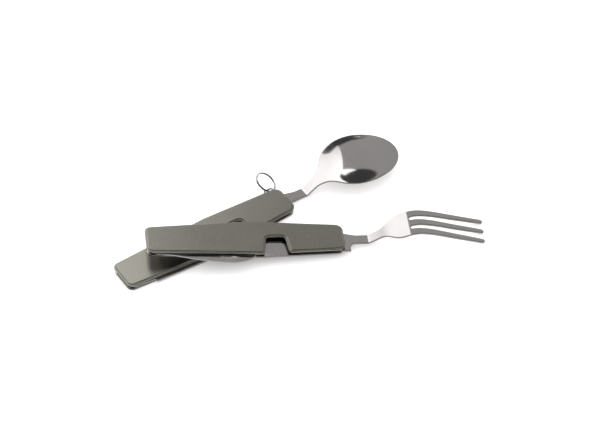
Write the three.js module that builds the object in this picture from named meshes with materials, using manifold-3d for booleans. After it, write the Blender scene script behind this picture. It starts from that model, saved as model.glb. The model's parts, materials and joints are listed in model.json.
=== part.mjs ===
// Folding picnic cutlery that comes apart into two thin halves: a fork half with a knife, and a
// spoon half with a bottle opener and a key ring. Both are open, and the fork half lies crossed
// over the spoon half. Millimetres, +Z up. The origin is the centre of the footprint.
//
// Each half is modelled in its own frame. Its origin is where the axis of the main tool leaves the
// handle, +X points out along the tool, +Z is up from the underside and -Y is the folding side.

import * as THREE from 'three';
import { mergeVertices } from 'three/addons/utils/BufferGeometryUtils.js';
import Module from 'manifold-3d';

// ---------------------------------------------------------------- driving dimensions

const HANDLE_LENGTH = 104.4;

// Half-widths of the handle on its full side and on its slim side: at the butt, at the bulge and
// at the tool end, with the distance of the bulge from the tool end.
const FULL_SIDE = { butt: 12.85, bulge: 14.8, end: 9.85, bulgeAt: 50.2 };
const SLIM_SIDE = { butt: 6.15, bulge: 10.25, end: 9.2, bulgeAt: 46 };
const CORNER_RADIUS = { butt: 3.6, end: 4.4 };
const BULGE_RADIUS = 30;

// Layers, from the underside up.
const LOWER_LINER = { from: 0, to: 0.7 };
const TOOL_LAYER = { from: 0.95, to: 2.05 };
const UPPER_LINER = { from: 2.3, to: 3.0 };
const COVER = { from: 3.2, to: 4.2, edgeDrop: 0.85, edgeWidth: 1.3 };
const LINER_INSET = 0.5;
const BAND_INSET = 0.45;

// Corner radii of the notch that the neck of the folded tool drops into.
const NOTCH_RADIUS = { inner: 2.4, mouth: 1.5 };

// Pivots of the main tools and of the second tools, and their rivets.
const PIVOT_X = -10;
const SECOND_PIVOT_X = -98.6;
const TANG_RADIUS = 5.4;
const SECOND_TANG_RADIUS = 4.6;
const RIVET = { shank: 2.0, head: 3.0, hole: 2.3, headHole: 3.3 };
const SPRING_RIVET = { shank: 1.0, head: 1.4, hole: 1.3, headHole: 1.7 };
const RIVET_FOOT = 0.05;

// Tools.
const NECK_HALF_WIDTH = 3.1;
const FORK = {
  kick: { reach: 2.9, depth: 8.5 },
  bendStart: 12.3,
  tineEnds: [74.0, 74.6, 75.0],
  halfWidth: 9.0,
  slotStart: 34,
  rootTine: 2.2,
  tipTine: 1.4,
};
const BOWL = {
  kick: { reach: -1.5, depth: 7.6 },
  bendStart: 11,
  centre: 44.5,
  rear: 21.3,
  front: 24.1,
  halfWidth: 18.6,
  depth: 4.3,
  fullness: 1.25,
};
const SPRING = { width: 3.4, gap: 0.35, narrowFrom: 7.35, end: 2.5 };

// The key ring, threaded through a lug of the spoon half's upper liner.
const LUG = { x: -5.3, y: 10.05, slotHalf: 2.1, slotRadius: 0.85, wall: 0.65 };
const KEY_RING = { radius: 5.85, wire: 0.5, centre: [-3.75, 15.4, 4.1], normal: [0.44, -0.353, 0.826] };

// How the halves lie: the spoon half is flat, turned on the ground, and the fork half leans on it.
const SPOON_HALF_YAW = 32.5;
const FORK_HALF_PLACE = { x: 29.9, y: -32.42, z: 2.14, yaw: 6.6, pitch: 4.0, roll: -2.0 };

const ARC_STEPS = 5;
const ROUND_SEGMENTS = 24;

// ---------------------------------------------------------------- materials

function metal(color, roughness) {
  return new THREE.MeshStandardMaterial({ color, roughness, metalness: 1 });
}

const COLOURS = { anodised: 0x85827a, steel: 0xc9c8c6, spring: 0xa9a8a6, rivet: 0xb5b4b2 };
const coverMetal = () => metal(COLOURS.anodised, 0.45);
const steelMetal = () => metal(COLOURS.steel, 0.15);
const springMetal = () => metal(COLOURS.spring, 0.35);
const rivetMetal = () => metal(COLOURS.rivet, 0.3);

// ---------------------------------------------------------------- solids

const wasm = await Module();
wasm.setup();

function solidOf(geometry) {
  const bare = geometry.clone();
  bare.deleteAttribute('normal');
  bare.deleteAttribute('uv');
  const merged = mergeVertices(bare, 1e-5);
  return new wasm.Manifold(new wasm.Mesh({
    numProp: 3,
    vertProperties: new Float32Array(merged.attributes.position.array),
    triVerts: new Uint32Array(merged.index.array),
  }));
}

function geometryOf(solid) {
  const { vertProperties, triVerts } = solid.getMesh();
  const geometry = new THREE.BufferGeometry();
  geometry.setAttribute('position', new THREE.BufferAttribute(vertProperties, 3));
  geometry.setIndex(new THREE.BufferAttribute(triVerts, 1));
  geometry.computeVertexNormals();
  return geometry;
}

function cut(geometry, ...tools) {
  return geometryOf(tools.reduce((solid, tool) => solid.subtract(solidOf(tool)), solidOf(geometry)));
}

function prism(shape, from, to, curveSegments = 10) {
  const geometry = new THREE.ExtrudeGeometry(shape, { depth: to - from, bevelEnabled: false, curveSegments });
  return geometry.translate(0, 0, from);
}

function roundBar(x, y, radius, from, to) {
  const geometry = new THREE.CylinderGeometry(radius, radius, to - from, ROUND_SEGMENTS);
  return geometry.rotateX(Math.PI / 2).translate(x, y, (from + to) / 2);
}

// Turns a closed polygon with a radius on each corner into points, moved inwards by an inset.
// Corners run anticlockwise, and each one always gives the same number of points.
function roundedOutline(corners, inset) {
  const count = corners.length;
  const at = (i) => corners[(i + count) % count];
  const along = (a, b) => new THREE.Vector2(b.x - a.x, b.y - a.y).normalize();
  const points = [];
  for (let i = 0; i < count; i += 1) {
    const before = along(at(i - 1), at(i));
    const after = along(at(i), at(i + 1));
    const turn = Math.asin(THREE.MathUtils.clamp(before.cross(after), -1, 1));
    const mitre = inset * Math.tan(turn / 2);
    const corner = new THREE.Vector2(
      at(i).x - before.y * inset - before.x * mitre,
      at(i).y + before.x * inset - before.y * mitre,
    );
    const radius = Math.max(at(i).radius - Math.sign(turn) * inset, 0.05);
    const reach = radius * Math.tan(Math.abs(turn) / 2);
    const start = corner.clone().addScaledVector(before, -reach);
    const side = new THREE.Vector2(-before.y, before.x).multiplyScalar(Math.sign(turn) * radius);
    const centre = start.clone().add(side);
    for (let k = 0; k <= ARC_STEPS; k += 1) {
      points.push(start.clone().rotateAround(centre, (turn * k) / ARC_STEPS));
    }
  }
  return points;
}

// A plate built from level rings of one outline, each with its own height and inset.
function stackedPlate(corners, rings) {
  const outlines = rings.map((ring) => roundedOutline(corners, ring.inset));
  const size = outlines[0].length;
  const positions = outlines.flatMap((points, i) => points.flatMap((p) => [p.x, p.y, rings[i].z]));
  const index = [];
  const cap = (points, first, up) => {
    for (const [a, b, c] of THREE.ShapeUtils.triangulateShape(points, [])) {
      index.push(first + a, first + (up ? b : c), first + (up ? c : b));
    }
  };
  cap(outlines[0], 0, false);
  cap(outlines.at(-1), size * (rings.length - 1), true);
  for (let ring = 0; ring < rings.length - 1; ring += 1) {
    for (let i = 0; i < size; i += 1) {
      const a = ring * size + i;
      const b = ring * size + ((i + 1) % size);
      index.push(a, b, b + size, a, b + size, a + size);
    }
  }
  const geometry = new THREE.BufferGeometry();
  geometry.setAttribute('position', new THREE.Float32BufferAttribute(positions, 3));
  geometry.setIndex(index);
  return geometry;
}

// A smooth height along X through a few points, as a cubic curve.
function smoothHeight(points) {
  const slope = (i) => {
    const a = points[Math.max(i - 1, 0)];
    const b = points[Math.min(i + 1, points.length - 1)];
    return (b[1] - a[1]) / (b[0] - a[0]);
  };
  return (x) => {
    let i = 0;
    while (i < points.length - 2 && x > points[i + 1][0]) i += 1;
    const [x0, z0] = points[i];
    const [x1, z1] = points[i + 1];
    const span = x1 - x0;
    const t = THREE.MathUtils.clamp((x - x0) / span, 0, 1);
    const rise = (2 * t - 3) * t * t;
    return z0 * (1 + rise) - z1 * rise
      + slope(i) * span * t * (1 - t) * (1 - t) - slope(i + 1) * span * t * t * (1 - t);
  };
}

// A bent sheet of even thickness under the surface height(x, y), over a grid of x and y lines.
function bentSheet(xs, ys, height, thickness) {
  const step = 0.01;
  const positions = [];
  for (const under of [false, true]) {
    for (const x of xs) {
      for (const y of ys) {
        const z = height(x, y);
        const normal = new THREE.Vector3(
          (z - height(x + step, y)) / step,
          (z - height(x, y + step)) / step,
          1,
        ).setLength(under ? thickness : 0);
        positions.push(x - normal.x, y - normal.y, z - normal.z);
      }
    }
  }
  const wide = ys.length;
  const layer = xs.length * wide;
  const index = [];
  const quad = (a, b, c, d) => index.push(a, b, c, a, c, d);
  for (let i = 0; i < xs.length - 1; i += 1) {
    for (let j = 0; j < wide - 1; j += 1) {
      const a = i * wide + j;
      quad(a, a + wide, a + wide + 1, a + 1);
      quad(layer + a, layer + a + 1, layer + a + wide + 1, layer + a + wide);
    }
  }
  for (let i = 0; i < xs.length - 1; i += 1) {
    const low = i * wide;
    const high = low + wide - 1;
    quad(low, layer + low, layer + low + wide, low + wide);
    quad(high, high + wide, layer + high + wide, layer + high);
  }
  for (let j = 0; j < wide - 1; j += 1) {
    const last = (xs.length - 1) * wide + j;
    quad(j, j + 1, layer + j + 1, layer + j);
    quad(last, layer + last, layer + last + 1, last + 1);
  }
  const geometry = new THREE.BufferGeometry();
  geometry.setAttribute('position', new THREE.Float32BufferAttribute(positions, 3));
  geometry.setIndex(index);
  return geometry;
}

function spaced(from, to, steps) {
  return Array.from({ length: steps + 1 }, (_, i) => from + ((to - from) * i) / steps);
}

// ---------------------------------------------------------------- the handle of a half

// The spoon half's outline is the fork half's turned over, so their backs match when joined.
const FORK_HALF = {
  name: 'fork_half',
  north: FULL_SIDE,
  south: SLIM_SIDE,
  notch: { inner: 2.3, innerFrom: -41.2, innerTo: -31.4, mouthFrom: -42.9, mouthTo: -29.9 },
  secondPivotY: -1.6,
};
const SPOON_HALF = {
  name: 'spoon_half',
  north: SLIM_SIDE,
  south: FULL_SIDE,
  notch: { inner: -0.9, innerFrom: -40.2, innerTo: -29.9, mouthFrom: -42.0, mouthTo: -27.3 },
  secondPivotY: -8,
};

function edgeAt(side, x) {
  const fromBulge = (-x - side.bulgeAt) / (HANDLE_LENGTH - side.bulgeAt);
  if (fromBulge > 0) return side.bulge + (side.butt - side.bulge) * fromBulge;
  return side.end + ((side.bulge - side.end) * -x) / side.bulgeAt;
}

function handleCorners(half, notched) {
  const corner = (x, y, radius) => ({ x, y, radius });
  const southEdge = (x) => -edgeAt(half.south, x);
  const { inner, innerFrom, innerTo, mouthFrom, mouthTo } = half.notch;
  const notch = [
    corner(mouthFrom, southEdge(mouthFrom), NOTCH_RADIUS.mouth),
    corner(innerFrom, inner, NOTCH_RADIUS.inner),
    corner(innerTo, inner, NOTCH_RADIUS.inner),
    corner(mouthTo, southEdge(mouthTo), NOTCH_RADIUS.mouth),
  ];
  return [
    corner(-HANDLE_LENGTH, -half.south.butt, CORNER_RADIUS.butt),
    corner(-half.south.bulgeAt, -half.south.bulge, BULGE_RADIUS),
    ...(notched ? notch : []),
    corner(0, -half.south.end, CORNER_RADIUS.end),
    corner(0, half.north.end, CORNER_RADIUS.end),
    corner(-half.north.bulgeAt, half.north.bulge, BULGE_RADIUS),
    corner(-HANDLE_LENGTH, half.north.butt, CORNER_RADIUS.butt),
  ];
}

function rivetPlaces(half) {
  return {
    pivot: { x: PIVOT_X, y: 0, size: RIVET },
    secondPivot: { x: SECOND_PIVOT_X, y: half.secondPivotY, size: RIVET },
    frontSpring: { x: -36, y: edgeAt(half.north, -36) - 2.6, size: SPRING_RIVET },
    rearSpring: { x: -80, y: edgeAt(half.north, -80) - 2.6, size: SPRING_RIVET },
  };
}

function headHoles(half) {
  return Object.values(rivetPlaces(half)).map(({ x, y, size }) => (
    roundBar(x, y, size.headHole, -1, COVER.from)));
}

function coverShell(half) {
  const { from, to, edgeDrop, edgeWidth } = COVER;
  const arc = spaced(0, Math.PI / 2, 4).map((angle) => ({
    z: to - edgeDrop * (1 - Math.sin(angle)),
    inset: edgeWidth * (1 - Math.cos(angle)),
  }));
  return stackedPlate(handleCorners(half, true), [{ z: from, inset: 0 }, ...arc]);
}

function flatPlate(corners, layer, inset) {
  return stackedPlate(corners, [{ z: layer.from, inset }, { z: layer.to, inset }]);
}

function lowerLiner(half) {
  return cut(flatPlate(handleCorners(half, false), LOWER_LINER, LINER_INSET), ...headHoles(half));
}

function upperLiner(half) {
  return cut(flatPlate(handleCorners(half, true), UPPER_LINER, BAND_INSET), ...headHoles(half));
}

function slotShape(x, y, half, radius) {
  const shape = new THREE.Shape();
  shape.absarc(x + half - radius, y, radius, -Math.PI / 2, Math.PI / 2, false);
  shape.absarc(x - half + radius, y, radius, Math.PI / 2, (3 * Math.PI) / 2, false);
  return shape;
}

function upperLinerWithLug(half) {
  const outer = LUG.slotRadius + LUG.wall;
  const root = 4;
  const reach = LUG.slotHalf + LUG.wall;
  const tab = new THREE.Shape();
  tab.moveTo(LUG.x - reach, LUG.y - root);
  tab.lineTo(LUG.x + reach, LUG.y - root);
  tab.absarc(LUG.x + reach - outer, LUG.y, outer, 0, Math.PI / 2, false);
  tab.absarc(LUG.x - reach + outer, LUG.y, outer, Math.PI / 2, Math.PI, false);
  const plate = solidOf(upperLiner(half)).add(solidOf(prism(tab, UPPER_LINER.from, UPPER_LINER.to)));
  const eye = slotShape(LUG.x, LUG.y, LUG.slotHalf, LUG.slotRadius);
  return cut(geometryOf(plate), prism(eye, TOOL_LAYER.from, COVER.from));
}

// The back spring is a bar along the north edge, with a nose at each end that bears on a tang.
function backSpring(half) {
  const outer = (x) => edgeAt(half.north, x) - LINER_INSET;
  const inner = (x) => outer(x) - SPRING.width;
  const frontNose = TANG_RADIUS + SPRING.gap;
  const rearNose = half.secondPivotY + SECOND_TANG_RADIUS + SPRING.gap;
  const butt = -HANDLE_LENGTH + SPRING.end;
  const shape = new THREE.Shape();
  shape.moveTo(butt, rearNose + 2);
  shape.lineTo(SECOND_PIVOT_X - 1.8, rearNose);
  shape.lineTo(SECOND_PIVOT_X + 3.5, rearNose);
  shape.quadraticCurveTo(SECOND_PIVOT_X + 5, inner(-90), -88, inner(-88));
  shape.lineTo(-half.north.bulgeAt, inner(-half.north.bulgeAt));
  shape.lineTo(-30, Math.max(inner(-30), SPRING.narrowFrom));
  shape.lineTo(PIVOT_X - 5, SPRING.narrowFrom);
  shape.lineTo(PIVOT_X - 3, frontNose);
  shape.lineTo(PIVOT_X + 3, frontNose);
  shape.lineTo(PIVOT_X + 5, SPRING.narrowFrom);
  shape.lineTo(-SPRING.end, SPRING.narrowFrom);
  shape.lineTo(-SPRING.end, outer(-SPRING.end));
  shape.lineTo(-half.north.bulgeAt, outer(-half.north.bulgeAt));
  shape.lineTo(butt, outer(butt));
  const holes = Object.values(rivetPlaces(half)).slice(2).map(({ x, y, size }) => (
    roundBar(x, y, size.hole, 0, COVER.from)));
  return cut(prism(shape, TOOL_LAYER.from, TOOL_LAYER.to), ...holes);
}

// A rivet is a shank with a flush head in each liner.
function rivet({ size }) {
  const shankFrom = LOWER_LINER.to;
  const shankTo = UPPER_LINER.from;
  const profile = [
    [0, RIVET_FOOT], [size.head, RIVET_FOOT], [size.head, shankFrom], [size.shank, shankFrom],
    [size.shank, shankTo], [size.head, shankTo], [size.head, UPPER_LINER.to], [0, UPPER_LINER.to],
  ].map(([radius, z]) => new THREE.Vector2(radius, z));
  return new THREE.LatheGeometry(profile, ROUND_SEGMENTS).rotateX(Math.PI / 2);
}

// ---------------------------------------------------------------- the tools

function pivotHole(y = 0, x = PIVOT_X) {
  return roundBar(x, y, RIVET.hole, -1, COVER.to);
}

// The shared start of the fork and the spoon: a round tang on the pivot, and a kick on the folding
// side that stops against the handle when the tool is open and against nothing when it is folded.
function tangAndNeck(shape, neckEnd, kick) {
  shape.moveTo(neckEnd, NECK_HALF_WIDTH);
  shape.lineTo(6, NECK_HALF_WIDTH);
  shape.lineTo(0.5, 4.6);
  shape.lineTo(PIVOT_X + 3, TANG_RADIUS - 0.9);
  shape.absarc(PIVOT_X, 0, TANG_RADIUS, Math.PI / 3, Math.PI * 1.62, false);
  shape.lineTo(kick.reach - 4.4, -kick.depth);
  shape.lineTo(kick.reach, -kick.depth);
  shape.lineTo(kick.reach, -6.1);
  shape.quadraticCurveTo(kick.reach + 0.4, -NECK_HALF_WIDTH - 0.2, kick.reach + 3, -NECK_HALF_WIDTH);
  shape.lineTo(neckEnd, -NECK_HALF_WIDTH);
}

function forkShape() {
  const { kick, tineEnds, halfWidth, slotStart, rootTine, tipTine } = FORK;
  const neckEnd = 17.5;
  const rootCentre = halfWidth - rootTine;
  const tipCentre = halfWidth - tipTine;
  const slotRadius = (rootCentre - 2 * rootTine) / 2;
  const shape = new THREE.Shape();
  tangAndNeck(shape, neckEnd, kick);
  shape.bezierCurveTo(22, -NECK_HALF_WIDTH, 25, -halfWidth, 30.5, -halfWidth);
  for (const tine of [-1, 0, 1]) {
    const tip = tineEnds[tine + 1] - tipTine;
    shape.lineTo(tip, tine * tipCentre - tipTine);
    shape.absarc(tip, tine * tipCentre, tipTine, -Math.PI / 2, Math.PI / 2, false);
    const slotCentre = (tine + 0.5) * rootCentre;
    if (tine < 1) {
      shape.lineTo(slotStart + slotRadius, slotCentre - slotRadius);
      shape.absarc(slotStart + slotRadius, slotCentre, slotRadius, -Math.PI / 2, Math.PI / 2, true);
    }
  }
  shape.lineTo(30.5, halfWidth);
  shape.bezierCurveTo(25, halfWidth, 22, NECK_HALF_WIDTH, neckEnd, NECK_HALF_WIDTH);
  return shape;
}

const forkHeight = smoothHeight([
  [-18, TOOL_LAYER.to], [10, TOOL_LAYER.to], [FORK.bendStart, TOOL_LAYER.to], [14, 2.7], [18, 5.2],
  [22, 8.1], [28, 10.4], [34, 12.6], [39, 13.3], [46, 12.3], [58, 9.1], [67, 6.75], [76, 4.45],
]);

function fork() {
  const xs = [-18, 10, ...spaced(FORK.bendStart, 30, 12), ...spaced(32, 76, 14)];
  const sheet = bentSheet(xs, [-10, 0, 10], forkHeight, TOOL_LAYER.to - TOOL_LAYER.from);
  const outline = solidOf(prism(forkShape(), -2, 20, 6));
  return cut(geometryOf(solidOf(sheet).intersect(outline)), pivotHole());
}

function spoonShape() {
  const { kick, centre, rear, front, halfWidth } = BOWL;
  const neckEnd = 16;
  const shoulder = { x: 27, y: halfWidth * Math.sqrt(1 - ((centre - 27) / rear) ** 2) };
  const shoulderAngle = Math.acos((centre - shoulder.x) / rear);
  const shape = new THREE.Shape();
  tangAndNeck(shape, neckEnd, kick);
  shape.bezierCurveTo(20.5, -NECK_HALF_WIDTH, 23.8, -6.5, shoulder.x, -shoulder.y);
  shape.absellipse(centre, 0, rear, halfWidth, Math.PI + shoulderAngle, 1.5 * Math.PI, false);
  shape.absellipse(centre, 0, front, halfWidth, -Math.PI / 2, Math.PI / 2, false);
  shape.absellipse(centre, 0, rear, halfWidth, Math.PI / 2, Math.PI - shoulderAngle, false);
  shape.bezierCurveTo(23.8, 6.5, 20.5, NECK_HALF_WIDTH, neckEnd, NECK_HALF_WIDTH);
  return shape;
}

const rimHeight = smoothHeight([
  [-18, TOOL_LAYER.to], [9, TOOL_LAYER.to], [BOWL.bendStart, TOOL_LAYER.to], [13.5, 3.5], [20, 7.0],
  [24, 8.9], [28, 9.3], [48, 9.2], [58, 8.2], [70, 7.0],
]);

// The bowl lies mouth down: it swells above the height of its rim.
function spoonHeight(x, y) {
  const { centre, rear, front, halfWidth, depth, fullness } = BOWL;
  const along = (x - centre) / (x < centre ? rear + 1.5 : front + 0.6);
  const swell = Math.max(0, 1 - along * along - (y / (halfWidth + 0.4)) ** 2) ** fullness;
  return rimHeight(x) + depth * swell * THREE.MathUtils.smoothstep(x, 19, 31);
}

function spoon() {
  const xs = [-18, 9, ...spaced(BOWL.bendStart, 30, 11), ...spaced(32, 69, 13)];
  const ys = spaced(-19.5, 19.5, 14);
  const sheet = bentSheet(xs, ys, spoonHeight, TOOL_LAYER.to - TOOL_LAYER.from);
  const outline = solidOf(prism(spoonShape(), -2, 20, 9));
  return cut(geometryOf(solidOf(sheet).intersect(outline)), pivotHole());
}

function flatTool(shape, pivotY) {
  return cut(prism(shape, TOOL_LAYER.from, TOOL_LAYER.to, 6), pivotHole(pivotY, SECOND_PIVOT_X));
}

// The folded knife: its back stands out of the folding side, its edge lies inside the handle.
function knife() {
  const pivotY = FORK_HALF.secondPivotY;
  const shape = new THREE.Shape();
  shape.absarc(SECOND_PIVOT_X, pivotY, SECOND_TANG_RADIUS, Math.PI / 2, 1.55 * Math.PI, false);
  shape.lineTo(-90, -7.5);
  shape.splineThru([[-77, -11.1], [-62, -13.8], [-56.5, -14.1], [-51, -12.3], [-46.4, -8.4],
    [-44.6, -2.9]].map(([x, y]) => new THREE.Vector2(x, y)));
  shape.lineTo(-91, -1.9);
  shape.lineTo(-93, pivotY + SECOND_TANG_RADIUS - 1);
  return flatTool(shape, pivotY);
}

// The folded bottle opener: a lifter hook on the inner side and a flat screwdriver end.
function opener() {
  const pivotY = SPOON_HALF.secondPivotY;
  const shape = new THREE.Shape();
  shape.absarc(SECOND_PIVOT_X, pivotY, SECOND_TANG_RADIUS, Math.PI / 2, 1.6 * Math.PI, false);
  shape.lineTo(-89.2, -13.1);
  shape.lineTo(-88.7, -14.8);
  shape.lineTo(-60, -15.9);
  shape.lineTo(-53, -14.6);
  shape.lineTo(-53, -8.6);
  shape.lineTo(-56.5, -6.2);
  shape.lineTo(-60.5, -6.0);
  shape.bezierCurveTo(-58.6, -10.6, -66.4, -12, -68.2, -7.4);
  shape.lineTo(-71.5, -4.6);
  shape.lineTo(-93, -4.2);
  return flatTool(shape, pivotY);
}

function keyRing() {
  return new THREE.TorusGeometry(KEY_RING.radius, KEY_RING.wire, 8, 36);
}

// ---------------------------------------------------------------- assembly

function piece(group, name, geometry, material) {
  const mesh = new THREE.Mesh(geometry, material);
  mesh.name = name;
  group.add(mesh);
  return mesh;
}

function addHandle(group, half, upper) {
  piece(group, `${half.name}_cover`, coverShell(half), coverMetal());
  piece(group, `${half.name}_upper_liner`, upper, coverMetal());
  piece(group, `${half.name}_lower_liner`, lowerLiner(half), steelMetal());
  piece(group, `${half.name}_back_spring`, backSpring(half), springMetal());
}

function addRivets(group, half, names) {
  Object.values(rivetPlaces(half)).forEach((place, i) => {
    piece(group, names[i], rivet(place), rivetMetal()).position.set(place.x, place.y, 0);
  });
}

function forkHalf() {
  const group = new THREE.Group();
  addHandle(group, FORK_HALF, upperLiner(FORK_HALF));
  addRivets(group, FORK_HALF, ['fork_pivot_rivet', 'knife_pivot_rivet',
    'fork_half_front_spring_rivet', 'fork_half_rear_spring_rivet']);
  piece(group, 'fork', fork(), steelMetal());
  piece(group, 'knife_blade', knife(), steelMetal());
  const { x, y, z, yaw, pitch, roll } = FORK_HALF_PLACE;
  const [turnX, turnY, turnZ] = [roll, pitch, yaw].map(THREE.MathUtils.degToRad);
  group.position.set(x, y, z);
  group.rotation.set(turnX, turnY, turnZ, 'ZYX');
  return group;
}

function spoonHalf() {
  const group = new THREE.Group();
  addHandle(group, SPOON_HALF, upperLinerWithLug(SPOON_HALF));
  addRivets(group, SPOON_HALF, ['spoon_pivot_rivet', 'opener_pivot_rivet',
    'spoon_half_front_spring_rivet', 'spoon_half_rear_spring_rivet']);
  piece(group, 'spoon', spoon(), steelMetal());
  piece(group, 'bottle_opener', opener(), steelMetal());
  const ring = piece(group, 'key_ring', keyRing(), steelMetal());
  ring.position.set(...KEY_RING.centre);
  const normal = new THREE.Vector3(...KEY_RING.normal).normalize();
  ring.quaternion.setFromUnitVectors(new THREE.Vector3(0, 0, 1), normal);
  group.rotation.z = THREE.MathUtils.degToRad(SPOON_HALF_YAW);
  return group;
}

const cutlery = new THREE.Group();
cutlery.add(forkHalf(), spoonHalf());

const footprint = new THREE.Box3().setFromObject(cutlery, true);
const middle = footprint.getCenter(new THREE.Vector3());
cutlery.position.set(-middle.x, -middle.y, -footprint.min.z);
cutlery.updateMatrixWorld(true);

export default cutlery;
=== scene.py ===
"""Folding picnic cutlery: a fork half crossed over a spoon half, both open, on a white table.

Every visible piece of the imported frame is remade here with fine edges, even curvature and its own
metal. Outlines are in millimetres in the frame of their half: X along the open tool from the end of
the handle, Z up from the half's underside, and the tools fold through -Y.
"""
import json
import math

import bpy
from mathutils import Matrix, Vector
from mathutils.geometry import delaunay_2d_cdt


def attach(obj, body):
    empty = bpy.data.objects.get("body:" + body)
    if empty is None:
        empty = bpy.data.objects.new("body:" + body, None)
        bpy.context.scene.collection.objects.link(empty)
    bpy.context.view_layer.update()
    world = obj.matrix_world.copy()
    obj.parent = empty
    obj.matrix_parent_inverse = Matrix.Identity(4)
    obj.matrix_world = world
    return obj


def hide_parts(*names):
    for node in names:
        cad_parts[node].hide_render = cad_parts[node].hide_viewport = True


MM = 0.001

# ---------------------------------------------------------------- dimensions shared with the frame

HANDLE_LENGTH = 104.4
FULL_SIDE = {"butt": 12.85, "bulge": 14.8, "end": 9.85, "bulge_at": 50.2}
SLIM_SIDE = {"butt": 6.15, "bulge": 10.25, "end": 9.2, "bulge_at": 46}
CORNER_RADIUS = {"butt": 3.6, "end": 4.4}
BULGE_RADIUS = 30

LOWER_LINER = (0.0, 0.7)
TOOL_LAYER = (0.95, 2.05)
SHEET_TOP = TOOL_LAYER[1]
SHEET_THICKNESS = TOOL_LAYER[1] - TOOL_LAYER[0]
UPPER_LINER = (2.3, 3.0)
COVER = (3.2, 4.2)
COVER_EDGE = {"step": 0.42, "flange": 0.75, "flange_roll": 0.3, "top_roll": 0.6, "flat_from": 0.66}
LINER_INSET = 0.5
BAND_INSET = 0.45
SPRING_RIVET_XS = (-36, -80)

NOTCH_RADIUS = {"inner": 2.4, "mouth": 1.5}

PIVOT_X = -10
SECOND_PIVOT_X = -98.6
TANG_RADIUS = 5.4
SECOND_TANG_RADIUS = 4.6
RIVET = {"shank": 2.0, "head": 3.0, "hole": 3.3}
SPRING_RIVET = {"shank": 1.0, "head": 1.4, "hole": 1.7}
SPRING = {"width": 3.4, "gap": 0.35, "narrow_from": 7.35, "end": 2.5, "rivet_inset": 2.6}

NECK = 3.1
FORK = {
    "kick": (2.9, 8.5),
    "bend_start": 12.3,
    "tine_ends": (74.0, 74.6, 75.0),
    "half_width": 9.0,
    "slot_start": 34,
    "root": 2.2,
    "tip": 1.4,
}
BOWL = {
    "kick": (-1.5, 7.6),
    "bend_start": 11,
    "centre": 44.5,
    "rear": 21.3,
    "front": 24.1,
    "half_width": 18.6,
    "depth": 4.3,
    "fullness": 1.25,
}

LUG = {"x": -5.3, "y": 10.05, "half": 2.1, "radius": 0.85, "wall": 0.65}
KEY_RING = {
    "radius": 5.85,
    "centre": (-3.75, 15.4, 4.1),
    "normal": (0.44, -0.353, 0.826),
    "wire": 0.3,
    "turn_gap": 0.62,
    "start": 100,
    "sweep": 712,
}

NICK = {"x": -62.8, "y": -9.9, "half_length": 6.6, "slope": -0.18, "bow": 0.9, "depth": 0.45}

ARC_STEPS = 14
SPACING = 0.6
SHARP_ANGLE = math.radians(38)

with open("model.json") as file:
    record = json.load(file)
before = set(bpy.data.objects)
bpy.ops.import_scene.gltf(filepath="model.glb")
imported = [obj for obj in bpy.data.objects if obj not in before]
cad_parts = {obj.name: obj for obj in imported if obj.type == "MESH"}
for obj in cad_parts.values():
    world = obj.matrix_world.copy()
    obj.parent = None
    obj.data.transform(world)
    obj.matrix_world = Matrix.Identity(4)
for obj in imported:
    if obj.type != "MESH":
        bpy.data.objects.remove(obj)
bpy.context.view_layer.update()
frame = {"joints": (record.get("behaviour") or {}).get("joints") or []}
joints = {joint["name"]: joint for joint in frame["joints"]}


def half_frame(near_joint, near_y, far_joint, far_y):
    """The matrix of a half's own frame, in metres, from its two folding hinges."""
    pivot_height = 1.5
    near = Vector(joints[near_joint]["pos_m"])
    span = near - Vector(joints[far_joint]["pos_m"])
    up = -Vector(joints[near_joint]["axis"]).normalized()
    slant = math.atan2(near_y - far_y, PIVOT_X - SECOND_PIVOT_X)
    along = (Matrix.Rotation(-slant, 3, up) @ span).normalized()
    across = up.cross(along).normalized()
    turn = Matrix((along, across, up)).transposed()
    origin = near - turn @ Vector((PIVOT_X, near_y, pivot_height)) * MM
    return Matrix.Translation(origin) @ turn.to_4x4()


FORK_HALF = {
    "name": "fork_half",
    "body": "fork_handle",
    "north": FULL_SIDE,
    "south": SLIM_SIDE,
    "notch": {"inner": 2.3, "inner_span": (-41.2, -31.4), "mouth_span": (-42.9, -29.9)},
    "second_y": -1.6,
    "matrix": half_frame("fork_fold", 0, "knife_open", -1.6),
}
SPOON_HALF = {
    "name": "spoon_half",
    "body": "spoon_handle",
    "north": SLIM_SIDE,
    "south": FULL_SIDE,
    "notch": {"inner": -0.9, "inner_span": (-40.2, -29.9), "mouth_span": (-42.0, -27.3)},
    "second_y": -8,
    "matrix": half_frame("spoon_fold", 0, "opener_open", -8),
}

# ---------------------------------------------------------------- outlines


def arc(x, y, radius, start, end, steps=ARC_STEPS):
    """Points on an arc, with its start and end in degrees."""
    angles = [math.radians(start + (end - start) * i / steps) for i in range(steps + 1)]
    return [Vector((x + radius * math.cos(a), y + radius * math.sin(a))) for a in angles]


def ellipse(x, y, rx, ry, start, end, steps):
    unit = arc(x, y, 1, start, end, steps)
    return [Vector((x + (p.x - x) * rx, y + (p.y - y) * ry)) for p in unit]


def bezier(p0, p1, p2, p3, steps=ARC_STEPS):
    a, b, c, d = map(Vector, (p0, p1, p2, p3))
    points = []
    for i in range(steps + 1):
        t = i / steps
        s = 1 - t
        points.append(a * s**3 + b * 3 * s * s * t + c * 3 * s * t * t + d * t**3)
    return points


def rounded_corner(before, corner, after, radius, steps=6):
    """The points that round one corner of a polygon."""
    back = (Vector(before) - Vector(corner)).normalized()
    on = (Vector(after) - Vector(corner)).normalized()
    half = back.angle(on) / 2
    reach = radius / math.tan(half)
    control = Vector(corner)
    start, end = control + back * reach, control + on * reach
    return bezier(start, start.lerp(control, 0.56), end.lerp(control, 0.56), end, steps)


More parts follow.
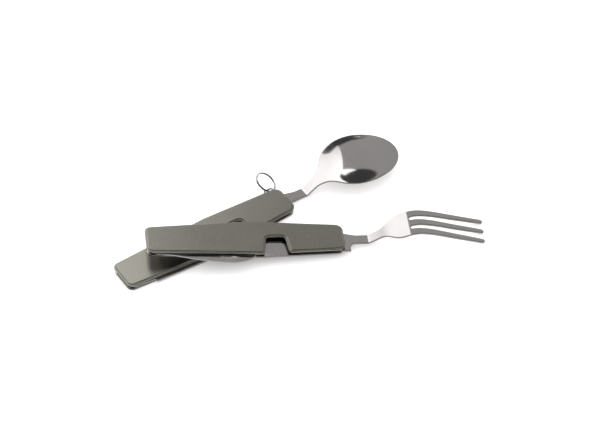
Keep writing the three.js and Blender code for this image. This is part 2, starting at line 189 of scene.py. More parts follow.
def inset_outline(corners, inset):
    """Rounds a closed polygon's corners and moves it inwards, with the same count each time."""
    count = len(corners)
    points = []
    for i, (x, y, radius) in enumerate(corners):
        back, on = corners[i - 1], corners[(i + 1) % count]
        before = Vector((x - back[0], y - back[1])).normalized()
        after = Vector((on[0] - x, on[1] - y)).normalized()
        turn = math.asin(max(-1, min(1, before.cross(after))))
        sign = 1 if turn > 0 else -1
        mitre = inset * math.tan(turn / 2)
        normal = Vector((-before.y, before.x))
        corner = Vector((x, y)) + normal * inset - before * mitre
        size = max(radius - sign * inset, 0.05)
        start = corner - before * size * math.tan(abs(turn) / 2)
        centre = start + normal * sign * size
        for k in range(ARC_STEPS + 1):
            turned = Matrix.Rotation(turn * k / ARC_STEPS, 2) @ (start - centre)
            points.append(centre + turned)
    return points


def circle(x, y, radius, steps=48):
    return arc(x, y, radius, 0, 360 - 360 / steps, steps - 1)


def respaced(points):
    """Adds points to the long sides of a closed outline and drops the ones that coincide."""
    kept = []
    for i, point in enumerate(points):
        if (point - points[i - 1]).length > 1e-4:
            kept.append(point)
    spread = []
    for i, point in enumerate(kept):
        after = kept[(i + 1) % len(kept)]
        parts = max(1, math.ceil((after - point).length / SPACING))
        spread += [point.lerp(after, k / parts) for k in range(parts)]
    return spread


def edge_at(side, x):
    past = (-x - side["bulge_at"]) / (HANDLE_LENGTH - side["bulge_at"])
    if past > 0:
        return side["bulge"] + (side["butt"] - side["bulge"]) * past
    return side["end"] + (side["bulge"] - side["end"]) * -x / side["bulge_at"]


def handle_corners(half, notched):
    north, south, notch = half["north"], half["south"], half["notch"]
    at_butt, at_end = CORNER_RADIUS["butt"], CORNER_RADIUS["end"]
    butt = [
        (-HANDLE_LENGTH, -south["butt"], at_butt),
        (-south["bulge_at"], -south["bulge"], BULGE_RADIUS),
    ]
    (inner_from, inner_to), (mouth_from, mouth_to) = notch["inner_span"], notch["mouth_span"]
    cut = [
        (mouth_from, -edge_at(south, mouth_from), NOTCH_RADIUS["mouth"]),
        (inner_from, notch["inner"], NOTCH_RADIUS["inner"]),
        (inner_to, notch["inner"], NOTCH_RADIUS["inner"]),
        (mouth_to, -edge_at(south, mouth_to), NOTCH_RADIUS["mouth"]),
    ]
    rest = [
        (0, -south["end"], at_end),
        (0, north["end"], at_end),
        (-north["bulge_at"], north["bulge"], BULGE_RADIUS),
        (-HANDLE_LENGTH, north["butt"], at_butt),
    ]
    return butt + (cut if notched else []) + rest


def rivet_places(half):
    north = half["north"]
    return [
        (PIVOT_X, 0, RIVET),
        (SECOND_PIVOT_X, half["second_y"], RIVET),
        *((x, edge_at(north, x) - SPRING["rivet_inset"], SPRING_RIVET) for x in SPRING_RIVET_XS),
    ]


def tang_and_neck(neck_end, kick):
    """From the neck's north side round the tang to its south side."""
    reach, depth = kick
    points = [Vector((neck_end, NECK)), Vector((12.5, NECK))]
    points += bezier((7.6, NECK), (5, NECK), (3.5, 4.0), (0.5, 4.6), 8)
    points.append(Vector((PIVOT_X + 3, TANG_RADIUS - 0.9)))
    points += arc(PIVOT_X, 0, TANG_RADIUS, 60, 291.6, 30)
    points.append(Vector((reach - 4.4, -depth)))
    points += rounded_corner((reach - 4.4, -depth), (reach, -depth), (reach, -6), 0.5)
    rise = (reach, -6.1), (reach + 0.1, -4.6), (reach + 0.9, -NECK), (reach + 3, -NECK)
    points += bezier(*rise, 8)
    return points


def fork_outline():
    half_width, slot_start = FORK["half_width"], FORK["slot_start"]
    root, tip = FORK["root"], FORK["tip"]
    neck_end = 17.5
    root_centre, tip_centre = half_width - root, half_width - tip
    slot_radius = (root_centre - 2 * root) / 2
    points = tang_and_neck(neck_end, FORK["kick"])
    points += bezier((neck_end, -NECK), (22, -NECK), (25, -half_width), (30.5, -half_width), 24)
    for tine, end in zip((-1, 0, 1), FORK["tine_ends"]):
        points += arc(end - tip, tine * tip_centre, tip, -90, 90)
        if tine < 1:
            middle = (tine + 0.5) * root_centre
            points += arc(slot_start + slot_radius, middle, slot_radius, 270, 90)
    points += bezier((30.5, half_width), (25, half_width), (22, NECK), (neck_end, NECK), 24)
    return points


def spoon_outline():
    centre, rear, front = BOWL["centre"], BOWL["rear"], BOWL["front"]
    half_width = BOWL["half_width"]
    neck_end, shoulder_x = 16, 27
    shoulder = math.degrees(math.acos((centre - shoulder_x) / rear))
    shoulder_y = half_width * math.sin(math.radians(shoulder))
    points = tang_and_neck(neck_end, BOWL["kick"])
    points += bezier((neck_end, -NECK), (20.5, -NECK), (23.8, -6.5), (shoulder_x, -shoulder_y), 20)
    points += ellipse(centre, 0, rear, half_width, 180 + shoulder, 270, 30)
    points += ellipse(centre, 0, front, half_width, -90, 90, 80)
    points += ellipse(centre, 0, rear, half_width, 90, 180 - shoulder, 30)
    points += bezier((shoulder_x, shoulder_y), (23.8, 6.5), (20.5, NECK), (neck_end, NECK), 20)
    return points


# ---------------------------------------------------------------- heights of the bent tools


def smooth_height(points):
    """A smooth curve through (x, z) points, level at both ends."""
    def slope(i):
        a, b = points[max(i - 1, 0)], points[min(i + 1, len(points) - 1)]
        return (b[1] - a[1]) / (b[0] - a[0])

    def height(x):
        i = 0
        while i < len(points) - 2 and x > points[i + 1][0]:
            i += 1
        (x0, z0), (x1, z1) = points[i], points[i + 1]
        span = x1 - x0
        t = max(0, min(1, (x - x0) / span))
        s = 1 - t
        ease = t * t * (3 - 2 * t)
        return z0 * (1 - ease) + z1 * ease + span * t * s * (slope(i) * s - slope(i + 1) * t)

    return height


def smoothstep(x, low, high):
    t = max(0, min(1, (x - low) / (high - low)))
    return t * t * (3 - 2 * t)


fork_rise = smooth_height([
    (-18, SHEET_TOP), (10, SHEET_TOP), (FORK["bend_start"], SHEET_TOP), (14, 2.7), (18, 5.2),
    (22, 8.1), (28, 10.4), (34, 12.6), (39, 13.3), (46, 12.3), (58, 9.1), (67, 6.75), (76, 4.45),
])
rim_rise = smooth_height([
    (-18, SHEET_TOP), (9, SHEET_TOP), (BOWL["bend_start"], SHEET_TOP), (13.5, 3.5), (20, 7.0),
    (24, 8.9), (28, 9.3), (48, 9.2), (58, 8.2), (70, 7.0),
])


def fork_height(x, y):
    return fork_rise(x)


def spoon_height(x, y):
    centre, rear, front = BOWL["centre"], BOWL["rear"], BOWL["front"]
    along = (x - centre) / (rear + 1.5 if x < centre else front + 0.6)
    swell = max(0, 1 - along * along - (y / (BOWL["half_width"] + 0.4)) ** 2) ** BOWL["fullness"]
    return rim_rise(x) + BOWL["depth"] * swell * smoothstep(x, 19, 31)


# ---------------------------------------------------------------- meshes


def new_piece(node, verts, faces, material, half, body=None, normals=None, name=None):
    """A finished piece in millimetres of its half, standing for one node of the frame."""
    mesh = bpy.data.meshes.new(name or f"{node}_surface")
    matrix = half["matrix"]
    turn = matrix.to_3x3()
    mesh.from_pydata([matrix @ (Vector(v) * MM) for v in verts], [], faces)
    mesh.validate()
    mesh.shade_smooth()
    if normals:
        mesh.normals_split_custom_set_from_vertices([turn @ normal for normal in normals])
    else:
        mesh.set_sharp_from_angle(angle=SHARP_ANGLE)
    mesh.materials.append(material)
    obj = bpy.data.objects.new(mesh.name, mesh)
    bpy.context.scene.collection.objects.link(obj)
    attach(obj, body or half["body"])
    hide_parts(node)
    return obj


def plate_mesh(loops, profile):
    """A level plate. Each loop maps an inset to points, holes clockwise; profile is (z, inset)."""
    verts, faces = [], []
    caps = {0: [], len(profile) - 1: []}
    for loop in loops:
        rings = []
        for level, (z, inset) in enumerate(profile):
            first = len(verts)
            points = loop(inset)
            verts += [(p.x, p.y, z) for p in points]
            rings.append(range(first, first + len(points)))
            if level in caps:
                caps[level].append(rings[-1])
        for low, high in zip(rings, rings[1:]):
            size = len(low)
            for i in range(size):
                k = (i + 1) % size
                faces.append((low[i], low[k], high[k], high[i]))
    for level, cap_rings in caps.items():
        for a, b, c in cap_triangles(verts, cap_rings):
            faces.append((a, b, c) if level > 0 else (a, c, b))
    return verts, faces


def cap_triangles(verts, rings):
    """Triangles, seen from above as anticlockwise, between an outline and the holes in it."""
    ids = [i for ring in rings for i in ring]
    flat = [Vector(verts[i][:2]) for i in ids]
    loops, edges = [], []
    for ring in rings:
        start = sum(len(loop) for loop in loops)
        size = len(ring)
        edges += [(start + i, start + (i + 1) % size) for i in range(size)]
        loops.append(flat[start:start + size])
    found = delaunay_2d_cdt(flat, edges, [], 0, 1e-6)
    source = [origin[0] for origin in found[3]]
    triangles = []
    for triangle in found[2]:
        a, b, c = (source[i] for i in triangle)
        middle = (flat[a] + flat[b] + flat[c]) / 3
        if sum(inside(loop, middle.x, middle.y) for loop in loops) != 1:
            continue
        if (flat[b] - flat[a]).cross(flat[c] - flat[a]) < 0:
            b, c = c, b
        triangles.append((ids[a], ids[b], ids[c]))
    return triangles


def hole_loop(x, y, radius, start):
    """A round hole in a plate whose outline starts at an inset, with its edge barely broken."""
    return lambda inset: list(reversed(circle(x, y, radius + 0.2 * (inset - start))))


def edge_profile(low, high, inset, radius, steps=4):
    """The section of a plate's side with both edges rounded."""
    flat = 0.05
    profile = [(low, inset + radius + flat)]
    for i in range(steps + 1):
        angle = math.pi / 2 * i / steps
        rise, back = 1 - math.sin(angle), 1 - math.cos(angle)
        profile.append((low + radius * rise, inset + radius * back))
    upper = [(low + high - z, side) for z, side in reversed(profile)]
    return profile + upper


def surface_normal(height, x, y):
    step = 0.02
    rise_x = (height(x + step, y) - height(x - step, y)) / (2 * step)
    rise_y = (height(x, y + step) - height(x, y - step)) / (2 * step)
    return Vector((-rise_x, -rise_y, 1)).normalized()


def inside(outline, x, y):
    hit = False
    for i, p in enumerate(outline):
        q = outline[i - 1]
        if (p.y > y) != (q.y > y) and x < (q.x - p.x) * (y - p.y) / (q.y - p.y) + p.x:
            hit = not hit
    return hit


def interior_points(outline, spacing, clearance):
    """A staggered grid of points inside an outline, clear of its edge."""
    xs, ys = [p.x for p in outline], [p.y for p in outline]
    columns = int((max(xs) - min(xs)) / spacing) + 1
    rows = int((max(ys) - min(ys)) / spacing) + 1
    found = []
    for i in range(columns):
        x = min(xs) + (i + 0.5) * spacing
        near = [p for p in outline if abs(p.x - x) < clearance]
        for j in range(rows):
            y = min(ys) + (j + 0.25 + 0.5 * (i % 2)) * spacing
            if any((p - Vector((x, y))).length_squared < clearance**2 for p in near):
                continue
            if inside(outline, x, y):
                found.append(Vector((x, y)))
    return found


def sheet_mesh(outline, height, thickness, edge, grid):
    """A bent sheet of even thickness with rounded edges, and the normals of its true surface."""
    outline = respaced(outline)
    count = len(outline)
    outward = []
    for i in range(count):
        along = (outline[(i + 1) % count] - outline[i - 1]).normalized()
        outward.append(Vector((along.y, -along.x)))
    steps = 5
    quarter = [math.pi / 2 * k / steps for k in range(steps + 1)]
    section = [(edge * (1 - math.sin(a)), edge * (1 - math.cos(a)), a) for a in quarter]
    section += [(inset, thickness - drop, math.pi - a) for inset, drop, a in reversed(section)]
    verts, normals, faces = [], [], []

    def place(point, drop, side=None, angle=0.0):
        normal = surface_normal(height, point.x, point.y)
        verts.append(Vector((point.x, point.y, height(point.x, point.y))) - normal * drop)
        if side is None:
            normals.append(normal if drop == 0 else -normal)
            return
        out = Vector((side.x, side.y, 0))
        out = (out - normal * out.dot(normal)).normalized()
        normals.append((normal * math.cos(angle) + out * math.sin(angle)).normalized())

    for inset, drop, angle in section:
        for point, side in zip(outline, outward):
            place(point - side * inset, drop, side, angle)
    for ring in range(len(section) - 1):
        for i in range(count):
            a, b = ring * count + i, ring * count + (i + 1) % count
            faces.append((a, a + count, b + count, b))
    rim = [point - side * section[0][0] for point, side in zip(outline, outward)]
    inner = interior_points(rim, grid, grid * 0.55)
    points = rim + inner
    cap = delaunay_2d_cdt(points, [], [list(range(count))], 1, 1e-5)
    source = [origin[0] if origin else None for origin in cap[3]]
    top_start = len(verts)
    for point in inner:
        place(point, 0)
    bottom_start = len(verts)
    for point in inner:
        place(point, thickness)
    last_ring = (len(section) - 1) * count
    for triangle in cap[2]:
        ids = [source[i] for i in triangle]
        top = [i if i < count else top_start + i - count for i in ids]
        bottom = [last_ring + i if i < count else bottom_start + i - count for i in ids]
        a, b, c = (points[i] for i in ids)
        if (b - a).cross(c - a) < 0:
            top.reverse()
            bottom.reverse()
        faces.append(tuple(top))
        faces.append(tuple(reversed(bottom)))
    return verts, faces, normals


def lathe_mesh(profile, centre, segments=48):
    """A solid of revolution about Z from (radius, z) points that start and end on the axis."""
    verts, faces, rings = [], [], []
    for radius, z in profile:
        if radius == 0:
            rings.append([len(verts)])
            verts.append((centre[0], centre[1], z))
            continue
        rings.append(list(range(len(verts), len(verts) + segments)))
        for point in circle(centre[0], centre[1], radius, segments):
            verts.append((point.x, point.y, z))
    for low, high in zip(rings, rings[1:]):
        for i in range(segments):
            k = (i + 1) % segments
            if len(low) == 1:
                faces.append((low[0], high[k], high[i]))
            elif len(high) == 1:
                faces.append((low[i], low[k], high[0]))
            else:
                faces.append((low[i], low[k], high[k], high[i]))
    return verts, faces


# ---------------------------------------------------------------- materials


# The colour the sheared sides blend to: painted shade, darker than the steel, standing in for the
# dark reflections along them.
SHADED_EDGE_STEEL = (0.26, 0.25, 0.245)
EDGE_ROUGHNESS = 0.4
ALONG_TOOL = (20, 1, 1)
ACROSS_TOOL = (1, 25, 1)
NEUTRAL_WHITE = (1, 0.99, 0.985, 1)


def node_tree(name):
    material = bpy.data.materials.new(name)
    material.use_nodes = True
    tree = material.node_tree
    shader = tree.nodes["Principled BSDF"]
    coords = tree.nodes.new("ShaderNodeTexCoord")
    return material, tree, shader, coords.outputs["Object"]


def stretched(tree, coords, stretch, yaw):
    """Coordinates turned with a half and drawn out along its own axes."""
    mapping = tree.nodes.new("ShaderNodeMapping")
    mapping.vector_type = "TEXTURE"
    mapping.inputs["Rotation"].default_value = (0, 0, yaw)
    mapping.inputs["Scale"].default_value = stretch
    tree.links.new(coords, mapping.inputs["Vector"])
    return mapping.outputs["Vector"]


def noise(tree, vector, scale, detail=3.0, rough=0.5):
    node = tree.nodes.new("ShaderNodeTexNoise")
    node.inputs["Scale"].default_value = scale
    node.inputs["Detail"].default_value = detail
    node.inputs["Roughness"].default_value = rough
    tree.links.new(vector, node.inputs["Vector"])
    return node.outputs["Fac"]


def remap(tree, value, low, high, span=(0.3, 0.7)):
    node = tree.nodes.new("ShaderNodeMapRange")
    node.inputs["From Min"].default_value = span[0]
    node.inputs["From Max"].default_value = span[1]
    node.inputs["To Min"].default_value = low
    node.inputs["To Max"].default_value = high
    tree.links.new(value, node.inputs["Value"])
    return node.outputs["Result"]


def blend(tree, factor, first, second):
    """Blends two colours; the first is a plain colour or another node's output."""
    node = tree.nodes.new("ShaderNodeMix")
    node.data_type = "RGBA"
    if isinstance(first, tuple):
        node.inputs[6].default_value = (*first, 1)
    else:
        tree.links.new(first, node.inputs[6])
    node.inputs[7].default_value = (*second, 1)
    tree.links.new(factor, node.inputs[0])
    return node.outputs[2]


def split_axes(tree, vector):
    node = tree.nodes.new("ShaderNodeSeparateXYZ")
    tree.links.new(vector, node.inputs[0])
    return node.outputs


def bump(tree, shader, heights, distance):
    node = tree.nodes.new("ShaderNodeBump")
    node.inputs["Strength"].default_value = 1.0
    node.inputs["Distance"].default_value = distance
    tree.links.new(heights, node.inputs["Height"])
    tree.links.new(node.outputs["Normal"], shader.inputs["Normal"])


def maths(tree, operation, *values):
    """A math node on outputs and plain numbers."""
    node = tree.nodes.new("ShaderNodeMath")
    node.operation = operation
    for socket, value in zip(node.inputs, values):
        if isinstance(value, (int, float)):
            socket.default_value = value
        else:
            tree.links.new(value, socket)
    return node.outputs[0]


def added(tree, first, second, weight):
    """The first value and a share of the second."""
    return maths(tree, "MULTIPLY_ADD", second, weight, first)


def anodised(name, dark, light, roughness):
    """Bead-blasted and anodised plate: a fine even grain with faint cloudy handling marks."""
    material, tree, shader, coords = node_tree(name)
    grain = noise(tree, coords, scale=1900, detail=2, rough=0.6)
    clouds = noise(tree, coords, scale=60, detail=4)
    tone = added(tree, grain, clouds, 0.25)
    colour = blend(tree, remap(tree, tone, 0, 1, span=(0.42, 0.84)), dark, light)
    tree.links.new(colour, shader.inputs["Base Color"])
    sway = 0.012
    spread = remap(tree, clouds, roughness - sway, roughness + sway)
    tree.links.new(spread, shader.inputs["Roughness"])
    shader.inputs["Metallic"].default_value = 1
    bump(tree, shader, grain, distance=0.000006)
    return material


def sheared_side_shade(tree, bright_below):
    """How much of a face is a sheared side, to be painted dark as shade: 0 on the upper face and 1
    on the sides.

    The lower face is painted dark as shade too, unless bright_below is set.
    """
    surface = tree.nodes.new("ShaderNodeTexCoord")
    facing = split_axes(tree, surface.outputs["Normal"])["Z"]
    if bright_below:
        facing = maths(tree, "ABSOLUTE", facing)
    return remap(tree, facing, 1, 0, span=(0.5, 0.78))


def blend_number(tree, factor, value, other):
    node = tree.nodes.new("ShaderNodeMix")
    node.inputs[3].default_value = other
    tree.links.new(factor, node.inputs[0])
    tree.links.new(value, node.inputs[2])
    return node.outputs[0]


def polished(name, half, colour, roughness, hairline, bright_below=True):
    """Buffed stainless steel with hairlines along the tool; its sheared edges are rougher and
    painted darker as shade.
    """
    material, tree, shader, coords = node_tree(f"{half['name']}_{name}")
    edge = sheared_side_shade(tree, bright_below)
    drawn = stretched(tree, coords, ALONG_TOOL, half["yaw"])
    lines = noise(tree, drawn, scale=5200, detail=3, rough=0.7)
    smears = noise(tree, coords, scale=90, detail=4)
    tone = added(tree, smears, lines, 0.5)
    tones = (0.5, 1.0)
    darker = tuple(c * 0.93 for c in colour)
    tinted = blend(tree, remap(tree, tone, 0, 1, tones), darker, colour)
    # Sheared sides, and the underside unless bright_below is set, take the painted shade colour.
    tree.links.new(blend(tree, edge, tinted, SHADED_EDGE_STEEL), shader.inputs["Base Color"])
    spread = remap(tree, tone, roughness * 0.7, roughness * 1.4, tones)
    tree.links.new(blend_number(tree, edge, spread, EDGE_ROUGHNESS), shader.inputs["Roughness"])
    shader.inputs["Metallic"].default_value = 1
    bump(tree, shader, lines, hairline)
    return material


def brushed(name, half, colour, roughness, hairline=0.000004):
    """Ground or blanked steel with a plain grain across it; its sheared edges are painted darker as
    shade.
    """
    material, tree, shader, coords = node_tree(f"{half['name']}_{name}")
    edge = sheared_side_shade(tree, bright_below=True)
    drawn = stretched(tree, coords, ACROSS_TOOL, half["yaw"])
    lines = noise(tree, drawn, scale=2600, detail=3, rough=0.6)
    spots = noise(tree, coords, scale=400, detail=3)
    tone = added(tree, spots, lines, 0.8)
    tones = (0.6, 1.2)
    darker = tuple(c * 0.86 for c in colour)
    tinted = blend(tree, remap(tree, tone, 0, 1, tones), darker, colour)
    # Sheared sides and the underside take the painted shade colour.
    tree.links.new(blend(tree, edge, tinted, SHADED_EDGE_STEEL), shader.inputs["Base Color"])
    spread = remap(tree, tone, roughness - 0.04, roughness + 0.06, tones)
    tree.links.new(spread, shader.inputs["Roughness"])
    shader.inputs["Metallic"].default_value = 1
    bump(tree, shader, lines, hairline)
    return material


def table_top():
    """A white light table: matt, and glowing a little from below."""
    material, tree, shader, coords = node_tree("white_table")
    speckle = noise(tree, coords, scale=40, detail=2)
    white = blend(tree, speckle, (0.93, 0.925, 0.925), (0.95, 0.95, 0.95))
    tree.links.new(white, shader.inputs["Base Color"])
    shader.inputs["Roughness"].default_value = 0.7
    shader.inputs["Specular IOR Level"].default_value = 0.2
    shader.inputs["Emission Color"].default_value = NEUTRAL_WHITE
    shader.inputs["Emission Strength"].default_value = 0.2
    return material


GUNMETAL = anodised("gunmetal_cover", (0.315, 0.311, 0.272), (0.435, 0.43, 0.375), 0.34)
GUNMETAL_BAND = anodised("gunmetal_band", (0.34, 0.337, 0.295), (0.43, 0.427, 0.372), 0.3)
for owner in (FORK_HALF, SPOON_HALF):
    owner["yaw"] = owner["matrix"].to_euler().z
    owner["tool"] = polished("tool_steel", owner, (0.68, 0.665, 0.66), 0.075, 0.0000004)
    # bright_below is off for the lower liner: its underside is painted dark as shade, so the cover
    # beneath it reflects darkness.
    owner["liner"] = polished("liner_steel", owner, (0.64, 0.62, 0.615), 0.14, 0.0000008, False)
    owner["ground"] = brushed("ground_steel", owner, (0.66, 0.65, 0.64), 0.2, 0.0000003)
    # The back spring's darker colour is painted shade for the dark gap between the liners where it
    # sits; its higher roughness is its own.
    owner["spring"] = brushed("spring_steel", owner, (0.42, 0.41, 0.40), 0.38)
    owner["rivet"] = brushed("rivet_steel", owner, (0.55, 0.54, 0.53), 0.3)
WIRE = polished("ring_wire", SPOON_HALF, (0.62, 0.61, 0.60), 0.16, 0.0000006)

# ---------------------------------------------------------------- the handles


def head_holes(half, inset):
    """The holes for the rivet heads in a plate whose outline starts at an inset."""
    return [hole_loop(x, y, size["hole"], inset) for x, y, size in rivet_places(half)]


def rolled(z, inset, rise, width, steps=8):
    """A quarter turn of a plate's section, from upright to level."""
    angles = [math.pi / 2 * i / steps for i in range(steps + 1)]
    return [(z + rise * math.sin(a), inset + width * (1 - math.cos(a))) for a in angles]


def cover(half):
    """A pressed plate: a narrow flange all round, and a raised flat with a rolled edge."""
    low, high = COVER
    step, flange = COVER_EDGE["step"], COVER_EDGE["flange"]
    foot, seam = 0.1, 0.02
    profile = [(low, 0.15), (low, foot)]
    profile += rolled(low + foot, 0, step - foot, COVER_EDGE["flange_roll"])
    profile += rolled(low + step + seam, flange, high - low - step - seam, COVER_EDGE["top_roll"])
    profile.append((high, flange + COVER_EDGE["flat_from"]))
    corners = handle_corners(half, True)
    verts, faces = plate_mesh([lambda inset: inset_outline(corners, inset)], profile)
    new_piece(f"{half['name']}_cover", verts, faces, GUNMETAL, half)


def lower_liner(half):
    corners = handle_corners(half, False)
    loops = [lambda inset: inset_outline(corners, inset)] + head_holes(half, LINER_INSET)
    verts, faces = plate_mesh(loops, edge_profile(*LOWER_LINER, LINER_INSET, 0.08))
    node = f"{half['name']}_lower_liner"
    new_piece(node, verts, faces, half["liner"], half)


def upper_liner(half):
    corners = handle_corners(half, True)
    loops = [lambda inset: inset_outline(corners, inset)] + head_holes(half, BAND_INSET)
    verts, faces = plate_mesh(loops, edge_profile(*UPPER_LINER, BAND_INSET, 0.25))
    node = f"{half['name']}_upper_liner"
    new_piece(node, verts, faces, GUNMETAL_BAND, half)


def lug():
    """The eye that stands out beside the cover and holds the key ring."""
    x, y, radius = LUG["x"], LUG["y"], LUG["radius"]
    reach, outer = LUG["half"] + LUG["wall"], radius + LUG["wall"]
    root, straight = y - 4, LUG["half"] - radius
    corners = [
        (x - reach, root, 0.2), (x + reach, root, 0.2),
        (x + reach, y + outer, outer), (x - reach, y + outer, outer),
    ]

    def eye(inset):
        right = arc(x + straight, y, radius + inset, -90, 90)
        left = arc(x - straight, y, radius + inset, 90, 270)
        return list(reversed(right + left))

    low, high = UPPER_LINER
    loops = [lambda inset: inset_outline(corners, inset), eye]
    verts, faces = plate_mesh(loops, edge_profile(low + 0.02, high - 0.02, 0, 0.15))
    new_piece("spoon_half_upper_liner", verts, faces, GUNMETAL_BAND, SPOON_HALF,
              name="key_ring_lug")


def back_spring(half):
    """The bar between the liners that bears on both tangs with a nose each."""
    north = half["north"]
    outer = lambda x: edge_at(north, x) - LINER_INSET
    inner = lambda x: outer(x) - SPRING["width"]
    front_nose = TANG_RADIUS + SPRING["gap"]
    rear_nose = half["second_y"] + SECOND_TANG_RADIUS + SPRING["gap"]
    butt = -HANDLE_LENGTH + SPRING["end"]
    narrow, bulge = SPRING["narrow_from"], -north["bulge_at"]
    corners = [
        (butt, rear_nose + 2, 0.5), (SECOND_PIVOT_X - 1.8, rear_nose, 0.6),
        (SECOND_PIVOT_X + 3.5, rear_nose, 0.6), (-90, inner(-90), 1.5),
        (bulge, inner(bulge), 12), (-30, max(inner(-30), narrow), 3),
        (PIVOT_X - 5, narrow, 0.6), (PIVOT_X - 3, front_nose, 0.4), (PIVOT_X + 3, front_nose, 0.4),
        (PIVOT_X + 5, narrow, 0.6), (-SPRING["end"], narrow, 0.5),
        (-SPRING["end"], outer(-SPRING["end"]), 0.8), (bulge, outer(bulge), 12),
        (butt, outer(butt), 1.2),
    ]
    verts, faces = plate_mesh([lambda inset: inset_outline(corners, inset)],
                              edge_profile(*TOOL_LAYER, 0, 0.1))
    node = f"{half['name']}_back_spring"
    new_piece(node, verts, faces, half["spring"], half)


def rivets(half, nodes):
    """Flush rivets with a shallow ring turned into the lower head."""
    for node, (x, y, size) in zip(nodes, rivet_places(half)):
        head, shank = size["head"], size["shank"]
        foot, top = 0.06, UPPER_LINER[1]
        ring, groove, bevel = head * 0.62, 0.15, 0.12
        profile = [
            (0, foot), (ring - groove, foot), (ring, foot + 0.08), (ring + groove, foot),
            (head - bevel, foot), (head, foot + bevel), (head, LOWER_LINER[1]),
            (shank, LOWER_LINER[1]), (shank, UPPER_LINER[0]), (head, UPPER_LINER[0]),
            (head, top - bevel), (head - bevel, top), (0, top),
        ]
        verts, faces = lathe_mesh(profile, (x, y))
        new_piece(node, verts, faces, half["rivet"], half)


# ---------------------------------------------------------------- the tools


def sheet_tool(node, outline, height, half, body, finish, edge, grid):
    """One tool, cut from the sheet; its finish is one of its half's materials."""
    verts, faces, normals = sheet_mesh(outline, height, SHEET_THICKNESS, edge, grid)
    new_piece(node, verts, faces, half[finish], half, body, normals)


def knife():
    pivot_y = FORK_HALF["second_y"]
    outline = arc(SECOND_PIVOT_X, pivot_y, SECOND_TANG_RADIUS, 90, 279, 26)
    outline.append(Vector((-90, -7.5)))
    outline += bezier((-77, -11.1), (-71, -12.3), (-66, -13.4), (-62, -13.8), 8)
    outline += bezier((-62, -13.8), (-58, -14.4), (-54, -13.7), (-51, -12.3), 8)
    outline += bezier((-51, -12.3), (-48.4, -11.1), (-46.6, -9.0), (-46.2, -7.4), 8)
    outline += bezier((-46.2, -7.4), (-45.4, -5.8), (-44.8, -4.2), (-44.6, -2.9), 6)
    outline += [Vector((-91, -1.9)), Vector((-93, pivot_y + SECOND_TANG_RADIUS - 1))]

    def height(x, y):
        """A nail nick is pressed into the flat by the spine, deepest on its spine side."""
        past = x - NICK["x"]
        along = past / NICK["half_length"]
        across = y - (NICK["y"] + NICK["slope"] * past + NICK["bow"] * along * along)
        if abs(along) >= 1 or abs(across) > 1:
            return SHEET_TOP
        return SHEET_TOP - NICK["depth"] * (1 - along * along) * smoothstep(-across, -1, 0.7)

    sheet_tool("knife_blade", outline, height, FORK_HALF, "knife_tool", "ground", 0.18, 0.4)


def opener():
    pivot_y = SPOON_HALF["second_y"]
    outline = arc(SECOND_PIVOT_X, pivot_y, SECOND_TANG_RADIUS, 90, 288, 26)
    outline += map(Vector, [
        (-89.2, -13.1), (-88.7, -14.8), (-60, -15.9), (-53, -14.6), (-53, -8.6), (-56.5, -6.2),
        (-60.5, -6.0),
    ])
    outline += bezier((-60.5, -6.0), (-58.6, -10.6), (-66.4, -12), (-68.2, -7.4), 16)
    outline += [Vector((-71.5, -4.6)), Vector((-93, -4.2))]
    flat = lambda x, y: SHEET_TOP
    sheet_tool("bottle_opener", outline, flat, SPOON_HALF, "opener_tool", "ground", 0.15, 2)


def key_ring():
    """A split ring: one wire wound twice, with a short step where the turns change places."""
    wire, radius = KEY_RING["wire"], KEY_RING["radius"]
    centre = Vector(KEY_RING["centre"])
    normal = Vector(KEY_RING["normal"]).normalized()
    to_hole = Vector((LUG["x"], LUG["y"], sum(UPPER_LINER) / 2)) - centre
    toward = (to_hole - normal * to_hole.dot(normal)).normalized()
    side = normal.cross(toward)
    steps, sides = 200, 12
    start, sweep = math.radians(KEY_RING["start"]), math.radians(KEY_RING["sweep"])
    verts, faces = [], []
    for i in range(steps + 1):
        share = i / steps
        angle = start + sweep * share
        out = toward * math.cos(angle) + side * math.sin(angle)
        level = KEY_RING["turn_gap"] * (smoothstep(share, 0.44, 0.56) - 0.5)
        middle = centre + out * radius + normal * level
        for k in range(sides):
            around = 2 * math.pi * k / sides
            verts.append(middle + (out * math.cos(around) + normal * math.sin(around)) * wire)
    for i in range(steps):
        for k in range(sides):
            a, b = i * sides + k, i * sides + (k + 1) % sides
            faces.append((a, b, b + sides, a + sides))
    faces.append(tuple(reversed(range(sides))))
    faces.append(tuple(range(steps * sides, (steps + 1) * sides)))
    new_piece("key_ring", verts, faces, WIRE, SPOON_HALF, "ring")


for each_half in (FORK_HALF, SPOON_HALF):
    cover(each_half)
    upper_liner(each_half)
    lower_liner(each_half)
    back_spring(each_half)
rivets(FORK_HALF, ["fork_pivot_rivet", "knife_pivot_rivet", "fork_half_front_spring_rivet",
                   "fork_half_rear_spring_rivet"])
rivets(SPOON_HALF, ["spoon_pivot_rivet", "opener_pivot_rivet", "spoon_half_front_spring_rivet",
                    "spoon_half_rear_spring_rivet"])
lug()
sheet_tool("fork", fork_outline(), fork_height, FORK_HALF, "fork_tool", "tool", 0.3, 0.9)
sheet_tool("spoon", spoon_outline(), spoon_height, SPOON_HALF, "spoon_tool", "tool", 0.3, 1.2)
knife()
opener()
key_ring()

# ---------------------------------------------------------------- the table, light and camera


def table():
    """The table's top, a hair below the frame's floor, where the tools rest."""
    size, below = 4.0, 0.00005
    corners = [(-size, -size, 0), (size, -size, 0), (size, size, 0), (-size, size, 0)]
    mesh = bpy.data.meshes.new("white_table")
    mesh.from_pydata(corners, [], [(0, 1, 2, 3)])
    mesh.materials.append(table_top())
    floor = bpy.data.objects.new("white_table", mesh)
    floor.location.z = -below
    bpy.context.scene.collection.objects.link(floor)


def direction(azimuth, elevation):
    """A unit vector; azimuth 0 is the far side, and it grows to the right."""
    a, e = math.radians(azimuth), math.radians(elevation)
    return Vector((math.sin(a) * math.cos(e), math.cos(a) * math.cos(e), math.sin(e)))


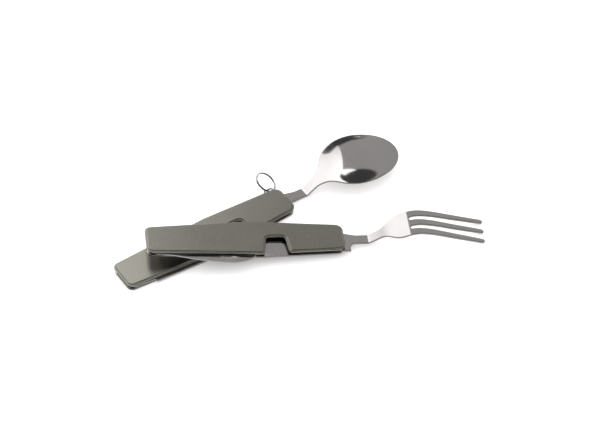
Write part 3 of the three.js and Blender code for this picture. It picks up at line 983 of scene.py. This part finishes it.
def overhead_light():
    """An even softbox above the table that the metal doesn't reflect."""
    size, height, radiance = 6.0, 1.5, 1.45
    light = bpy.data.lights.new("overhead", "AREA")
    light.shape = "SQUARE"
    light.size = size
    light.energy = radiance * math.pi * size * size
    obj = bpy.data.objects.new("overhead", light)
    obj.location.z = height
    obj.visible_glossy = False
    bpy.context.scene.collection.objects.link(obj)


def left_diffuser():
    """A large glowing cloth left of the object and over it, brighter high up and out of view."""
    name, seen_from = "left_diffuser", Vector((0.03, 0.035, 0.01))
    corners = [
        (-13, 15, 0.6), (-34, 68, 0.52), (19, 76, 0.5), (-36, 77, 0.5), (-57, 69.5, 0.55),
        (-88, 40, 0.6), (-62, 7, 0.75), (-22.5, 26, 0.62),
    ]
    faces = [(0, 1, 7), (7, 1, 6), (1, 4, 6), (4, 5, 6), (1, 2, 3), (1, 3, 4)]
    radiance, heights = (0.95, 1.65), (0.18, 0.46)
    mesh = bpy.data.meshes.new(name)
    mesh.from_pydata([seen_from + direction(a, e) * r for a, e, r in corners], [], faces)
    material, tree, shader, coords = node_tree(name)
    shader.inputs["Base Color"].default_value = (0, 0, 0, 1)
    shader.inputs["Specular IOR Level"].default_value = 0
    strength = remap(tree, split_axes(tree, coords)["Z"], *radiance, heights)
    tree.links.new(strength, shader.inputs["Emission Strength"])
    shader.inputs["Emission Color"].default_value = NEUTRAL_WHITE
    mesh.materials.append(material)
    panel = bpy.data.objects.new(name, mesh)
    panel.visible_camera = False
    panel.visible_shadow = False
    bpy.context.scene.collection.objects.link(panel)


def room():
    """A dark room, lighter behind the camera, with a slanting grey wall beyond the table."""
    world = bpy.data.worlds.new("studio")
    bpy.context.scene.world = world
    world.use_nodes = True
    tree = world.node_tree
    coords = tree.nodes.new("ShaderNodeTexCoord")
    axes = split_axes(tree, coords.outputs["Generated"])
    rightward = maths(tree, "MAXIMUM", axes["X"], 0)
    below_top = added(tree, added(tree, axes["Y"], axes["Z"], -0.255), rightward, -0.24)
    above_foot = added(tree, axes["Z"], axes["X"], 0.9)
    wall = maths(tree, "MULTIPLY",
                 remap(tree, below_top, 0, 1, span=(-0.01, 0.01)),
                 remap(tree, above_foot, 0, 1, span=(0.08, 0.13)))
    near_side = remap(tree, axes["Y"], 1, 0, span=(-0.85, -0.4))
    dark = blend(tree, near_side, (0.055, 0.055, 0.057), (0.2, 0.2, 0.2))
    grey = blend(tree, wall, dark, (0.37, 0.36, 0.36))
    tree.links.new(grey, tree.nodes["Background"].inputs["Color"])


def camera():
    """A long lens above the near side, aimed at a point between the two tools."""
    elevation, distance, lens = 44.75, 1.5618, 176
    right_of_pivot, beyond_pivot = 0.01534, -0.00369
    pivot = Vector(joints["spoon_fold"]["pos_m"])
    aim = Vector((pivot.x + right_of_pivot, pivot.y + beyond_pivot, 0))
    data = bpy.data.cameras.new("camera")
    data.lens = lens
    data.sensor_width = 36
    data.clip_start, data.clip_end = 0.1, 20
    obj = bpy.data.objects.new("camera", data)
    back = direction(180, elevation)
    obj.location = aim + back * distance
    obj.rotation_mode = "QUATERNION"
    obj.rotation_quaternion = (-back).to_track_quat("-Z", "Y")
    bpy.context.scene.collection.objects.link(obj)
    bpy.context.scene.camera = obj


table()
room()
left_diffuser()
overhead_light()
camera()
bpy.context.scene.view_settings.view_transform = "Standard"
